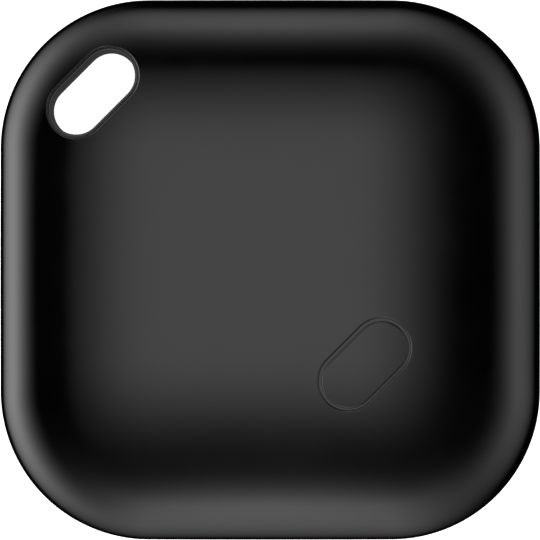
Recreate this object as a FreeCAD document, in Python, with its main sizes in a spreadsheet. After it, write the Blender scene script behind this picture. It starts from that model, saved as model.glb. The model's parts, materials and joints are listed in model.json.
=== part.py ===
import FreeCAD, Part
import math
import os
import re

import Sketcher
from FreeCAD import Placement, Rotation, Vector

# Square tracker tag: two pillow-shaped shells round a board, a coin cell and a disc sounder.
# Millimetres. The flat rear face is z = 0, its middle is the origin, and the button side is +Z.

# Driving sizes: alias, value, what it is.
DIMENSIONS = [
    ("side", 40.0, "width and height of the tag"),
    ("corner_radius", 11.0, "plan radius of its four corners"),
    ("dome_sag", 1.88, "fall of the domed front from its middle to the corner's tip"),
    ("front_round", 3.2, "radius of the edge between front and side"),
    ("rear_round", 2.2, "radius of the edge between rear and side"),
    ("parting", 2.9, "height of the seam between the shells"),
    ("side_wall", 1.3, "wall at the sides"),
    ("front_wall", 1.0, "wall at the front"),
    ("rear_floor", 1.0, "wall at the rear"),
    ("floor_round", 0.8, "inner radius between rear floor and side wall"),
    ("tongue_height", 0.8, "rear shell's tongue above the seam"),
    ("tongue_wall", 0.65, "thickness of the tongue"),
    ("tongue_gap", 0.05, "clearance between tongue and front shell"),
    ("gasket_height", 0.25, "pressed height of the housing gasket"),
    ("gasket_margin", 0.08, "tongue left bare each side of the gasket"),
    ("slot_margin", 3.345, "slot in from the rounded corner's tip"),
    ("slot_spine", 3.46, "straight length of slot and button"),
    ("slot_bore", 1.885, "end radius of the slot"),
    ("collar_lip", 0.2, "wall of the collar's thin upper end"),
    ("collar_gap", 0.07, "clearance between collar and front shell"),
    ("collar_wall", 1.0, "wall of the collar's lower length"),
    ("collar_sink", 0.16, "collar's end below the front face"),
    ("boss_depth", 1.3, "front shell's boss under the slot, below the face"),
    ("lip_round", 0.12, "broken edges of the openings"),
    ("button_reach", 9.83, "button axis from the middle, on the diagonal"),
    ("button_opening", 2.18, "end radius of the button's opening"),
    ("button_gap", 0.197, "mean clearance round the cap"),
    ("button_settle", 0.05, "how far the cap sits off centre, to the corner"),
    ("cap_flange", 0.4, "thickness of the cap's flange"),
    ("cap_flange_lap", 0.6, "flange beyond the opening"),
    ("flange_gap", 0.06, "flange below the front wall"),
    ("cap_stem", 0.2, "length of the cap's stem"),
    ("stem_radius", 0.7, "radius of the stem"),
    ("stem_play", 0.02, "free play between stem and switch"),
    ("switch_length", 3.8, "switch along the button"),
    ("switch_width", 2.8, "switch across the button"),
    ("switch_base_height", 0.4, "height of the switch base"),
    ("switch_cover_height", 0.1, "thickness of the steel cover"),
    ("switch_well", 1.2, "radius of the well that holds the dome"),
    ("switch_floor", 0.15, "base left under the well"),
    ("dome_height", 0.3, "rise of the snap dome"),
    ("dome_sheet", 0.06, "thickness of the snap dome"),
    ("plunger_height", 0.25, "height of the plunger"),
    ("plunger_radius", 0.75, "radius of the plunger"),
    ("plunger_gap", 0.05, "clearance of the plunger in the cover"),
    ("board_edge", 1.8, "board's edge in from the side wall"),
    ("board_thickness", 0.6, "thickness of the board"),
    ("board_slot_gap", 0.3, "board's cut corner clear of the collar"),
    ("boss_overlap", 0.2, "how far a screw boss runs into the battery well"),
    ("screw_turn", 75.0, "angle of the first board screw"),
    ("screw_radius", 0.6, "radius of a screw's shank"),
    ("screw_length", 2.6, "shank below the head"),
    ("screw_head_radius", 1.1, "radius of a screw's head"),
    ("screw_head_height", 0.45, "height of a screw's head"),
    ("screw_hole_gap", 0.1, "clearance of the shank in the board"),
    ("boss_wall", 0.8, "wall of a screw boss"),
    ("cell_radius", 10.0, "radius of the coin cell"),
    ("cell_height", 3.2, "height of the coin cell"),
    ("cell_sheet", 0.25, "steel of the cell's can and cap"),
    ("cap_inset", 1.3, "cell's cap in from the can"),
    ("cell_seal_lip", 0.5, "seal's width at the crimp"),
    ("cell_cap_rise", 0.3, "cap above the crimped can"),
    ("separator_height", 0.1, "felt between the electrodes"),
    ("anode_height", 0.7, "lithium disc"),
    ("contact_gap", 0.45, "board above the cell"),
    ("contact_sheet", 0.15, "sheet of the battery contacts"),
    ("contact_width", 3.0, "width of the battery contacts"),
    ("positive_turn", 195.0, "angle of the positive contact"),
    ("positive_foot", 2.3, "its foot on the board, out from the cell"),
    ("positive_bend", 0.75, "its bend, out from the cell"),
    ("positive_drop", 1.6, "the line where it touches the cell, below the board"),
    ("positive_tip", 0.5, "its lead-in, below and out from that line"),
    ("negative_foot", 3.0, "negative contact's foot, from its bend"),
    ("negative_reach", 3.5, "the line where it touches the cell, from its bend"),
    ("negative_tip", 0.9, "its tip, past that line"),
    ("door_sink", 0.1, "door's face in from the rear face"),
    ("door_plate", 0.9, "thickness of the door"),
    ("cup_wall", 1.25, "wall of the door's cup, out to its neck"),
    ("door_flange_lap", 1.6, "door's flange beyond the neck"),
    ("door_flange", 0.5, "thickness of the flange"),
    ("door_gap", 0.1, "clearance round neck and flange"),
    ("door_play", 0.05, "clearance above and below the ledge"),
    ("ledge_height", 0.85, "shell's ledge that the lugs hook over"),
    ("lug_height", 0.5, "thickness of a lug"),
    ("lug_lap", 0.85, "lug beyond the neck"),
    ("lug_width", 4.4, "width of a lug"),
    ("lug_gap", 0.25, "clearance of a lug in its notch"),
    ("door_turn", 40.0, "turn that frees the door"),
    ("stop_gap", 0.35, "a lug's side to its stop"),
    ("stop_width", 0.8, "width of a stop"),
    ("mark_margin", 1.5, "lock marks in the rear face, beyond the door"),
    ("cup_gap", 0.35, "door's cup round the cell"),
    ("well_gap", 0.25, "battery well clear of the lugs"),
    ("well_wall", 1.0, "wall of the battery well"),
    ("seal_thick", 0.5, "cord diameter of the door seal"),
    ("seal_groove", 0.6, "width of its groove"),
    ("seal_shoulder", 0.15, "flange to groove"),
    ("seal_depth", 0.45, "depth of its groove"),
    ("pad_height", 0.13, "foam pad on the door"),
    ("pad_radius", 8.0, "radius of the pad"),
    ("pad_play", 0.02, "pad clear of the cell while the door turns"),
    ("coin_slot_length", 13.0, "slot for a coin in the door"),
    ("coin_slot_width", 1.8, "width of that slot"),
    ("coin_slot_depth", 0.45, "depth of that slot"),
    ("mark_radius", 0.5, "round lock marks on the door"),
    ("mark_depth", 0.12, "depth of a mark"),
    ("mark_reach", 9.4, "lock mark from the middle"),
    ("sounder_reach", 4.0, "sounder axis from the middle, to the slot"),
    ("sounder_radius", 7.5, "radius of the brass disc"),
    ("sounder_sheet", 0.15, "thickness of the brass disc"),
    ("ceramic_radius", 5.0, "radius of the ceramic"),
    ("ceramic_sheet", 0.15, "thickness of the ceramic"),
    ("glue_sheet", 0.1, "adhesive ring's thickness"),
    ("glue_width", 1.2, "adhesive ring's width"),
    ("seat_margin", 0.4, "sounder seat beyond the disc"),
    ("seat_drop", 0.08, "seat below the front wall's lowest point over it"),
    ("spring_sheet", 0.12, "sheet of the sounder springs"),
    ("spring_width", 0.8, "width of the sounder springs"),
    ("spring_length", 1.8, "length of the sounder springs"),
    ("spring_tip", 0.4, "flat tip of a sounder spring"),
    ("chip_side", 5.0, "side of the radio chip"),
    ("chip_height", 0.8, "height of the radio chip"),
    ("chip_across", -7.6, "chip's middle, across"),
    ("chip_up", -9.4, "chip's middle, up"),
    ("small_length", 1.0, "length of a small chip part"),
    ("small_width", 0.5, "width of a small chip part"),
    ("small_height", 0.45, "height of a small chip part"),
    ("small_pitch", 0.95, "spacing of the small chip parts"),
    ("small_gap", 0.5, "small parts clear of the radio chip"),
    ("crystal_length", 2.5, "main crystal"),
    ("crystal_width", 2.0, "main crystal"),
    ("crystal_height", 0.55, "main crystal"),
    ("clock_length", 3.2, "clock crystal"),
    ("clock_width", 1.5, "clock crystal"),
    ("clock_height", 0.7, "clock crystal"),
    ("antenna_length", 6.5, "ceramic antenna"),
    ("antenna_width", 2.0, "ceramic antenna"),
    ("antenna_height", 0.6, "ceramic antenna"),
    ("antenna_inset", 6.0, "antenna in from the board's rounded corner"),
    ("pad_land_radius", 0.6, "radius of a test pad"),
    ("pad_land_height", 0.04, "thickness of a test pad"),
    ("pad_land_inset", 1.3, "test pads in from the board's edge"),
]

doc = FreeCAD.newDocument("tracker_tag")
sheet = doc.addObject("Spreadsheet::Sheet", "dims")
for row, (alias, size, note) in enumerate(DIMENSIONS, 1):
    sheet.set(f"A{row}", note)
    sheet.set(f"B{row}", str(size))
    sheet.setAlias(f"B{row}", alias)
doc.recompute()
ALIASES = {alias for alias, size, note in DIMENSIONS}


def sized(formula):
    """The formula with each plain alias turned into a reference to the sheet."""
    return re.sub("[a-z_]+", lambda word: "dims." * (word[0] in ALIASES) + word[0], formula)


def value(formula):
    return float(sheet.evalExpression(sized(formula)))


def drop(reach, radius):
    """How far a dome has fallen at a distance from its top."""
    return f"({radius} - sqrt(({radius}) * ({radius}) - ({reach}) * ({reach})))"


# Levels and places that follow from the driving sizes.
DIAGONAL = "0.7071067811865476"
CAP_REACH = "(button_reach + button_settle)"
FLANGE_RADIUS = "(button_opening + cap_flange_lap)"
CORNER_REACH = f"((side / 2 - corner_radius) / {DIAGONAL} + corner_radius)"
SLOT_REACH = f"({CORNER_REACH} - slot_margin - slot_bore)"
DOME_RADIUS = f"(({CORNER_REACH} * {CORNER_REACH} + dome_sag * dome_sag) / (2 * dome_sag))"
CAVITY_DOME = f"({DOME_RADIUS} - front_wall)"
DOOR_TOP = "(door_sink + door_plate)"
DOOR_NECK = "(cell_radius + cup_gap + cup_wall)"
CELL_CAP = "(cell_radius - cap_inset)"
CELL_FOOT = f"({DOOR_TOP} + pad_height + pad_play)"
CELL_TOP = f"({CELL_FOOT} + cell_height)"
BOARD_FOOT = f"({CELL_TOP} + contact_gap)"
BOARD_TOP = f"({BOARD_FOOT} + board_thickness)"
WELL_FLOOR = f"({BOARD_TOP} + switch_floor)"
PLUNGER_FOOT = f"({WELL_FLOOR} + dome_height)"
PLUNGER_TOP = f"({PLUNGER_FOOT} + plunger_height)"
FLANGE_FOOT = f"({PLUNGER_TOP} + stem_play + cap_stem)"
FLANGE_TOP = f"({FLANGE_FOOT} + cap_flange)"
CEILING = f"({FLANGE_TOP} + flange_gap + {drop(f'{CAP_REACH} + {FLANGE_RADIUS}', CAVITY_DOME)})"
THICKNESS = f"({CEILING} + front_wall)"
SEAT_RADIUS = "(sounder_radius + seat_margin)"
SEAT = f"({CEILING} - {drop(f'sounder_reach + {SEAT_RADIUS}', CAVITY_DOME)} - seat_drop)"
COLLAR_TOP_RADIUS = "(slot_bore + collar_lip)"
SLOT_OPENING = f"({COLLAR_TOP_RADIUS} + collar_gap)"
COLLAR_RADIUS = "(slot_bore + collar_wall)"
SHOULDER = f"({THICKNESS} - {drop(f'{SLOT_REACH} + {COLLAR_RADIUS}', DOME_RADIUS)} - boss_depth)"
LEDGE_FOOT = "(door_sink + door_flange + door_play)"
LEDGE_TOP = f"({LEDGE_FOOT} + ledge_height)"
LUG_FOOT = f"({LEDGE_TOP} + door_play)"
LUG_TOP = f"({LUG_FOOT} + lug_height)"
DOOR_RADIUS = f"({DOOR_NECK} + door_flange_lap)"
LUG_REACH = f"({DOOR_NECK} + lug_lap)"
WELL_RADIUS = f"({LUG_REACH} + lug_gap + well_gap)"
BOSS_RADIUS = "(screw_radius + boss_wall)"
SCREW_REACH = f"({WELL_RADIUS} + well_wall + {BOSS_RADIUS} - boss_overlap)"
BOARD_HALF = "(side / 2 - side_wall - board_edge)"
BOARD_CORNER = "(corner_radius - side_wall - board_edge)"
ANTENNA_REACH = f"(({BOARD_HALF} - {BOARD_CORNER}) / {DIAGONAL} + {BOARD_CORNER} - antenna_inset)"
GROOVE_FOOT = "(parting + tongue_height)"
GASKET_TOP = f"({GROOVE_FOOT} + gasket_height)"


def body_named(label):
    body = doc.addObject("PartDesign::Body", label)
    body.Label = label
    return body


def origin_plane(body, role):
    return next(item for item in body.Origin.OriginFeatures if item.Role == role)


def sketch_on(body, name, level="0", across="0", up="0", turn="0", role="XY_Plane"):
    """A sketch on one of the body's origin planes, lifted, moved and turned by formulas."""
    sketch = body.newObject("Sketcher::SketchObject", name)
    sketch.AttachmentSupport = [(origin_plane(body, role), "")]
    sketch.MapMode = "FlatFace"
    sketch.AttachmentOffset = Placement(Vector(0, 0, 0), Rotation(Vector(0, 0, 1), 1))
    sketch.setExpression("AttachmentOffset.Base.x", sized(across))
    sketch.setExpression("AttachmentOffset.Base.y", sized(up))
    sketch.setExpression("AttachmentOffset.Base.z", sized(level))
    sketch.setExpression("AttachmentOffset.Rotation.Angle", sized(turn))
    return sketch


def bind(sketch, formula, *constraint):
    """Add a dimension whose size is a formula."""
    index = sketch.addConstraint(Sketcher.Constraint(*constraint, value(formula)))
    sketch.setExpression(f"Constraints[{index}]", sized(formula))


def draw_rounded_square(sketch, half, radius):
    edge = value(half)
    turn = value(radius)
    middle = edge - turn
    lines = []
    arcs = []
    for quarter in range(4):
        spin = Rotation(Vector(0, 0, 1), 90 * quarter)
        start = spin.multVec(Vector(-middle, -edge, 0))
        end = spin.multVec(Vector(middle, -edge, 0))
        centre = spin.multVec(Vector(middle, -middle, 0))
        circle = Part.Circle(centre, Vector(0, 0, 1), turn)
        first = math.radians(90 * quarter - 90)
        lines.append(sketch.addGeometry(Part.LineSegment(start, end)))
        arcs.append(sketch.addGeometry(Part.ArcOfCircle(circle, first, first + math.pi / 2)))
    for quarter in range(4):
        sketch.addConstraint(Sketcher.Constraint("Tangent", lines[quarter], 2, arcs[quarter], 1))
        sketch.addConstraint(Sketcher.Constraint("Tangent", arcs[quarter], 2, lines[(quarter + 1) % 4], 1))
        direction = "Vertical" if quarter % 2 else "Horizontal"
        sketch.addConstraint(Sketcher.Constraint(direction, lines[quarter]))
    for quarter in range(1, 4):
        sketch.addConstraint(Sketcher.Constraint("Equal", arcs[0], arcs[quarter]))
    sketch.addConstraint(Sketcher.Constraint("Symmetric", arcs[0], 3, arcs[2], 3, -1, 1))
    bind(sketch, radius, "Radius", arcs[0])
    bind(sketch, half, "DistanceX", -1, 1, lines[1], 1)
    bind(sketch, half, "DistanceY", -1, 1, lines[2], 1)


def draw_circle(sketch, radius, x="0", y="0"):
    centre = Vector(value(x), value(y), 0)
    circle = sketch.addGeometry(Part.Circle(centre, Vector(0, 0, 1), value(radius)))
    bind(sketch, radius, "Radius", circle)
    place_point(sketch, circle, 3, x, y)


def place_point(sketch, item, end, x, y):
    """Fix a point of the sketch; a coordinate of nothing lies on the axis."""
    if x == "0" and y == "0":
        sketch.addConstraint(Sketcher.Constraint("Coincident", item, end, -1, 1))
        return
    if x == "0":
        sketch.addConstraint(Sketcher.Constraint("PointOnObject", item, end, -2))
    else:
        bind(sketch, x, "DistanceX", -1, 1, item, end)
    if y == "0":
        sketch.addConstraint(Sketcher.Constraint("PointOnObject", item, end, -1))
    else:
        bind(sketch, y, "DistanceY", -1, 1, item, end)


def draw_stadium(sketch, spine, radius):
    """Two half circles and two straights, long way along the sketch's x."""
    half = value(spine) / 2
    turn = value(radius)
    right = Part.Circle(Vector(half, 0, 0), Vector(0, 0, 1), turn)
    left = Part.Circle(Vector(-half, 0, 0), Vector(0, 0, 1), turn)
    lower = sketch.addGeometry(Part.LineSegment(Vector(-half, -turn, 0), Vector(half, -turn, 0)))
    end = sketch.addGeometry(Part.ArcOfCircle(right, -math.pi / 2, math.pi / 2))
    upper = sketch.addGeometry(Part.LineSegment(Vector(half, turn, 0), Vector(-half, turn, 0)))
    start = sketch.addGeometry(Part.ArcOfCircle(left, math.pi / 2, 3 * math.pi / 2))
    chain = [lower, end, upper, start]
    for index, item in enumerate(chain):
        sketch.addConstraint(Sketcher.Constraint("Tangent", item, 2, chain[(index + 1) % 4], 1))
    sketch.addConstraint(Sketcher.Constraint("Horizontal", lower))
    sketch.addConstraint(Sketcher.Constraint("Equal", end, start))
    sketch.addConstraint(Sketcher.Constraint("Symmetric", end, 3, start, 3, -1, 1))
    bind(sketch, radius, "Radius", end)
    bind(sketch, spine, "DistanceX", start, 3, end, 3)


def draw_rectangle(sketch, length, width, x="0", y="0"):
    """A rectangle round a middle point that is given by formulas."""
    left = f"({x}) - ({length}) / 2"
    right = f"({x}) + ({length}) / 2"
    lower = f"({y}) - ({width}) / 2"
    upper = f"({y}) + ({width}) / 2"
    draw_outline(sketch, [(left, lower), (right, lower), (right, upper), (left, upper)])


def draw_outline(sketch, corners):
    """A closed outline of straights through corners given as pairs of formulas."""
    points = [Vector(value(x), value(y), 0) for x, y in corners]
    lines = []
    for index, point in enumerate(points):
        line = Part.LineSegment(point, points[(index + 1) % len(points)])
        lines.append(sketch.addGeometry(line))
    for index, line in enumerate(lines):
        following = lines[(index + 1) % len(lines)]
        sketch.addConstraint(Sketcher.Constraint("Coincident", line, 2, following, 1))
    for line, (x, y) in zip(lines, corners):
        place_point(sketch, line, 1, x, y)


def pad(body, sketch, length, both_ways=False):
    feature = body.newObject("PartDesign::Pad", f"{sketch.Name}_pad")
    feature.Profile = sketch
    feature.Midplane = both_ways
    feature.setExpression("Length", sized(length))
    sketch.Visibility = False
    doc.recompute()
    return feature


def pocket(body, sketch, depth, upward=True):
    """Cut a sketch's outline away, upward from its plane or downward."""
    before = body.Shape.Volume
    feature = body.newObject("PartDesign::Pocket", f"{sketch.Name}_pocket")
    feature.Profile = sketch
    feature.Reversed = upward
    feature.setExpression("Length", sized(depth))
    doc.recompute()
    if not body.Shape.Volume < before - 1e-6:
        raise RuntimeError(f"{feature.Name} removes nothing")
    return feature


def spin(body, sketch, kind="PartDesign::Revolution"):
    feature = body.newObject(kind, f"{sketch.Name}_turn")
    feature.Profile = sketch
    feature.ReferenceAxis = (sketch, ["V_Axis"])
    feature.Angle = 360
    doc.recompute()
    return feature


def repeat_round(body, feature, count):
    pattern = body.newObject("PartDesign::PolarPattern", f"{feature.Name}_pattern")
    pattern.Originals = [feature]
    pattern.Axis = (origin_axis(body), [""])
    pattern.Angle = 360
    pattern.Occurrences = count
    body.Tip = pattern
    doc.recompute()
    return pattern


def origin_axis(body):
    return next(item for item in body.Origin.OriginFeatures if item.Role == "Z_Axis")


def edges_where(shape, test):
    edges = [(f"Edge{index}", edge) for index, edge in enumerate(shape.Edges, 1)]
    return [name for name, edge in edges if edge.Length > 0.001 and test(edge)]


def round_edges(body, radius, test):
    feature = body.newObject("PartDesign::Fillet", f"{body.Name}_round")
    base = feature.BaseFeature
    feature.Base = (base, edges_where(base.Shape, test))
    feature.setExpression("Radius", sized(radius))
    doc.recompute()
    return feature


def cut_dome(body, name, top, radius):
    """Trim the body by a dome: the ring above an arc is turned about the upright axis and cut away."""
    reach = "side * 0.75"
    sketch = sketch_on(body, name, role="YZ_Plane")
    crown = value(top)
    bend = value(radius)
    far = value(reach)
    edge = crown - bend + math.sqrt(bend * bend - far * far)
    circle = Part.Circle(Vector(0, crown - bend, 0), Vector(0, 0, 1), bend)
    start = math.atan2(edge - (crown - bend), far)
    roof = crown + 2
    arc = sketch.addGeometry(Part.ArcOfCircle(circle, start, math.pi / 2))
    inner = sketch.addGeometry(Part.LineSegment(Vector(0, crown, 0), Vector(0, roof, 0)))
    level = sketch.addGeometry(Part.LineSegment(Vector(0, roof, 0), Vector(far, roof, 0)))
    outer = sketch.addGeometry(Part.LineSegment(Vector(far, roof, 0), Vector(far, edge, 0)))
    chain = [arc, inner, level, outer]
    for index, item in enumerate(chain):
        sketch.addConstraint(Sketcher.Constraint("Coincident", item, 2, chain[(index + 1) % 4], 1))
    sketch.addConstraint(Sketcher.Constraint("Vertical", inner))
    sketch.addConstraint(Sketcher.Constraint("Horizontal", level))
    sketch.addConstraint(Sketcher.Constraint("Vertical", outer))
    sketch.addConstraint(Sketcher.Constraint("PointOnObject", arc, 3, -2))
    sketch.addConstraint(Sketcher.Constraint("PointOnObject", arc, 2, -2))
    bind(sketch, radius, "Radius", arc)
    bind(sketch, top, "DistanceY", -1, 1, arc, 2)
    bind(sketch, f"{top} + 2", "DistanceY", -1, 1, inner, 2)
    bind(sketch, reach, "DistanceX", -1, 1, outer, 1)
    before = body.Shape.Volume
    groove = spin(body, sketch, "PartDesign::Groove")
    if not body.Shape.Volume < before - 1e-6:
        raise RuntimeError(f"{groove.Name} removes nothing")


def make_pillow(body, foot, top, half, corner, dome, edge):
    """A rounded square pad with a domed top and a rounded upper edge."""
    outline = sketch_on(body, f"{body.Name}_outline", foot)
    draw_rounded_square(outline, half, corner)
    pad(body, outline, f"{top} - {foot}")
    cut_dome(body, f"{body.Name}_dome", top, dome)
    low = value(foot) + 0.01
    round_edges(body, edge, lambda item: item.BoundBox.ZMin > low)


def diagonal_sketch(body, name, level, reach):
    """A sketch whose x runs along the slot, at a reach towards the slot's corner, or away below zero."""
    return sketch_on(body, name, level, f"0 - ({reach}) * {DIAGONAL}", f"({reach}) * {DIAGONAL}", "45")


def lies_on_dome(edge):
    top = value(THICKNESS)
    bend = value(DOME_RADIUS)
    for point in edge.discretize(5):
        reach = math.hypot(point.x, point.y)
        if abs(point.z - (top - bend + math.sqrt(bend * bend - reach * reach))) > 0.05:
            return False
    return True


def lies_near(edge, reach, span):
    """True where an edge is within a span of the point at a reach on the slot's diagonal."""
    middle = Vector(-value(reach) * value(DIAGONAL), value(reach) * value(DIAGONAL), 0)
    points = [Vector(point.x, point.y, 0) for point in edge.discretize(5)]
    return all(point.distanceToPoint(middle) < value(span) for point in points)


def make_front_hollow():
    """The room inside the front shell, less the slot's boss and the sounder's seat."""
    hollow = body_named("front_hollow")
    half = "side / 2 - side_wall"
    make_pillow(hollow, "parting", CEILING, half, "corner_radius - side_wall", CAVITY_DOME,
                "front_round - side_wall")
    boss = diagonal_sketch(hollow, "slot_boss", SHOULDER, SLOT_REACH)
    draw_stadium(boss, "slot_spine", COLLAR_RADIUS)
    pocket(hollow, boss, "side")
    seat = diagonal_sketch(hollow, "sounder_seat", SEAT, "sounder_reach")
    draw_circle(seat, SEAT_RADIUS)
    draw_circle(seat, "sounder_radius - glue_width")
    pocket(hollow, seat, "side")
    return hollow


def make_front_shell():
    shell = body_named("front_shell")
    make_pillow(shell, "parting", THICKNESS, "side / 2", "corner_radius", DOME_RADIUS, "front_round")
    hollow = make_front_hollow()
    remove = shell.newObject("PartDesign::Boolean", "front_room")
    remove.setObjects([hollow])
    remove.Type = "Cut"
    doc.recompute()
    seam = sketch_on(shell, "seam_recess", "parting")
    inset = "side_wall - tongue_wall - tongue_gap"
    draw_rounded_square(seam, f"side / 2 - ({inset})", f"corner_radius - ({inset})")
    pocket(shell, seam, f"{GASKET_TOP} - parting")
    slot = diagonal_sketch(shell, "slot_opening", "parting", SLOT_REACH)
    draw_stadium(slot, "slot_spine", SLOT_OPENING)
    pocket(shell, slot, "side")
    button = diagonal_sketch(shell, "button_hole", "parting", "0 - button_reach")
    draw_stadium(button, "slot_spine", "button_opening")
    pocket(shell, button, "side")
    lips = [(SLOT_REACH, f"slot_spine / 2 + {SLOT_OPENING} + 0.1"),
            ("0 - button_reach", "slot_spine / 2 + button_opening + 0.1")]
    round_edges(shell, "lip_round", lambda edge: lies_on_dome(edge)
                and any(lies_near(edge, reach, span) for reach, span in lips))


def make_rear_shell():
    shell = body_named("rear_shell")
    outline = sketch_on(shell, "rear_outline")
    draw_rounded_square(outline, "side / 2", "corner_radius")
    pad(shell, outline, "parting")
    round_edges(shell, "rear_round", lambda edge: edge.BoundBox.ZMax < 0.01)
    room = sketch_on(shell, "rear_room", "rear_floor")
    draw_rounded_square(room, "side / 2 - side_wall", "corner_radius - side_wall")
    pocket(shell, room, "parting")
    low = value("rear_floor")
    inner = value("side / 2 - side_wall") + 0.01
    round_edges(shell, "floor_round", lambda edge: abs(edge.BoundBox.ZMin - low) < 0.001
                and abs(edge.BoundBox.ZMax - low) < 0.001 and edge.BoundBox.XMax < inner)
    tongue = sketch_on(shell, "tongue", "parting")
    for inset in ("side_wall - tongue_wall", "side_wall"):
        draw_rounded_square(tongue, f"side / 2 - ({inset})", f"corner_radius - ({inset})")
    pad(shell, tongue, "tongue_height")
    ledge = sketch_on(shell, "door_ledge", "rear_floor")
    draw_circle(ledge, f"{WELL_RADIUS} + well_wall")
    pad(shell, ledge, f"{LEDGE_TOP} - rear_floor")
    well = sketch_on(shell, "battery_well", LEDGE_TOP)
    draw_circle(well, f"{WELL_RADIUS} + well_wall")
    draw_circle(well, WELL_RADIUS)
    pad(shell, well, f"{BOARD_FOOT} - {LEDGE_TOP}")
    boss = sketch_on(shell, "screw_boss", "rear_floor", turn="screw_turn")
    draw_circle(boss, BOSS_RADIUS, SCREW_REACH)
    repeat_round(shell, pad(shell, boss, f"{BOARD_FOOT} - rear_floor"), 3)
    collar = diagonal_sketch(shell, "collar", "rear_floor", SLOT_REACH)
    draw_stadium(collar, "slot_spine", COLLAR_RADIUS)
    pad(shell, collar, f"{SHOULDER} - rear_floor")
    lip = diagonal_sketch(shell, "collar_lip", SHOULDER, SLOT_REACH)
    draw_stadium(lip, "slot_spine", COLLAR_TOP_RADIUS)
    pad(shell, lip, f"{THICKNESS} - {SHOULDER}")
    cut_dome(shell, "collar_dome", f"{THICKNESS} - collar_sink", DOME_RADIUS)
    bore = sketch_on(shell, "screw_bore", "rear_floor", turn="screw_turn")
    draw_circle(bore, "screw_radius", SCREW_REACH)
    repeat_round(shell, pocket(shell, bore, BOARD_FOOT), 3)
    slot = diagonal_sketch(shell, "slot", "0", SLOT_REACH)
    draw_stadium(slot, "slot_spine", "slot_bore")
    pocket(shell, slot, THICKNESS)
    flange = sketch_on(shell, "door_seat")
    draw_circle(flange, f"{DOOR_RADIUS} + door_gap")
    pocket(shell, flange, LEDGE_FOOT)
    neck = sketch_on(shell, "door_opening")
    draw_circle(neck, f"{DOOR_NECK} + door_gap")
    pocket(shell, neck, LEDGE_TOP)
    notch = sketch_on(shell, "lug_notch", turn="0 - door_turn")
    draw_rectangle(notch, "4 + lug_lap + lug_gap", "lug_width + 2 * lug_gap",
                   f"{DOOR_NECK} - 2 + (lug_lap + lug_gap) / 2")
    repeat_round(shell, pocket(shell, notch, LEDGE_TOP), 3)
    beside = "(lug_width / 2 + stop_gap + stop_width / 2)"
    for name, turn, side in (("shut_stop", "0", beside), ("open_stop", "0 - door_turn", f"0 - {beside}")):
        stop = sketch_on(shell, name, LEDGE_TOP, turn=turn)
        inner = f"({DOOR_NECK} + 2 * door_gap)"
        outer = f"{WELL_RADIUS} + well_wall / 2"
        draw_rectangle(stop, f"{outer} - {inner}", "stop_width", f"({inner} + {outer}) / 2", side)
        repeat_round(shell, pad(shell, stop, "lug_height"), 3)
    for name, turn in (("shut_mark", "90"), ("open_mark", "90 - door_turn")):
        mark = sketch_on(shell, name, turn=turn)
        draw_circle(mark, "mark_radius", f"{DOOR_RADIUS} + mark_margin")
        pocket(shell, mark, "mark_depth")
    span = "slot_spine / 2 + slot_bore + 0.1"
    round_edges(shell, "lip_round", lambda edge: edge.BoundBox.ZMax < 0.001
                and lies_near(edge, SLOT_REACH, span))


def make_gasket():
    gasket = body_named("housing_gasket")
    ring = sketch_on(gasket, "gasket_ring")
    for inset in ("side_wall - tongue_wall + gasket_margin", "side_wall - gasket_margin"):
        draw_rounded_square(ring, f"side / 2 - ({inset})", f"corner_radius - ({inset})")
    pad(gasket, ring, "gasket_height")
    gasket.setExpression("Placement.Base.z", sized(GROOVE_FOOT))


def place_on_button(item, level, reach="button_reach"):
    item.Placement = Placement(Vector(0, 0, 0), Rotation(Vector(0, 0, 1), 45))
    item.setExpression("Placement.Base.x", sized(f"({reach}) * {DIAGONAL}"))
    item.setExpression("Placement.Base.y", sized(f"0 - ({reach}) * {DIAGONAL}"))
    item.setExpression("Placement.Base.z", sized(level))


def make_button_cap():
    """Modelled where it lies, because its top is a piece of the front's own dome."""
    cap = body_named("button_cap")
    reach = f"0 - {CAP_REACH}"
    crown = diagonal_sketch(cap, "cap_crown", FLANGE_TOP, reach)
    draw_stadium(crown, "slot_spine", "button_opening - button_gap")
    pad(cap, crown, f"{THICKNESS} - {FLANGE_TOP}")
    cut_dome(cap, "cap_dome", THICKNESS, DOME_RADIUS)
    flange = diagonal_sketch(cap, "cap_flange_outline", FLANGE_FOOT, reach)
    draw_stadium(flange, "slot_spine", FLANGE_RADIUS)
    pad(cap, flange, "cap_flange")
    stem = diagonal_sketch(cap, "cap_stem_circle", f"{FLANGE_FOOT} - cap_stem", "0 - button_reach")
    draw_circle(stem, "stem_radius")
    pad(cap, stem, "cap_stem")
    round_edges(cap, "lip_round", lies_on_dome)


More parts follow.
